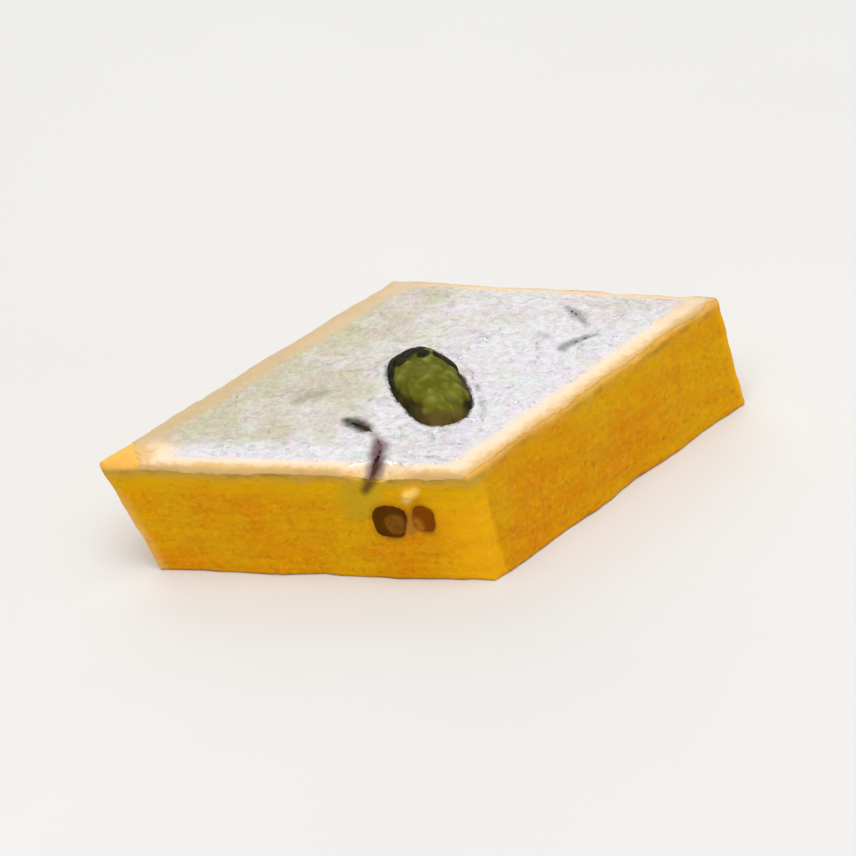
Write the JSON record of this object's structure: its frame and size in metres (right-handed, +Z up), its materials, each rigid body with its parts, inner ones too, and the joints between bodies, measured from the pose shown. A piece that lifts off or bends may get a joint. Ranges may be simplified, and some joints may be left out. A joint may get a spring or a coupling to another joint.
{
  "type": "cashew barfi piece",
  "caption": "Diamond-cut piece of golden cashew fudge with a torn silver-leaf top, half a pistachio kernel and nut chips in its cut sides.",
  "frame": {"origin": "centre of the bounding box on the plane of the flat base", "axes": "+Z up, +X to the right along the front side, -Y towards the viewer of the front side"},
  "size_m": [0.0612, 0.0386, 0.016],
  "materials": {
    "cashew_fudge": "smooth moist nut fudge, saffron gold, knife-cut sides with a faint oily sheen",
    "silver_leaf": "beaten edible silver leaf, wrinkled and torn",
    "pistachio": "wrinkled kernel, olive green with dark purple-brown skin at the rims",
    "nut_chip": "cut nut, brown skin round a paler middle"
  },
  "bodies": {
    "root": {"fudge_block": "cashew_fudge", "silver_leaf": "silver_leaf", "pistachio_half": "pistachio", "nut_chip_front_large": "nut_chip", "nut_chip_front_small": "nut_chip", "nut_chip_back": "nut_chip", "nut_chip_left": "nut_chip"}
  },
  "joints": []
}
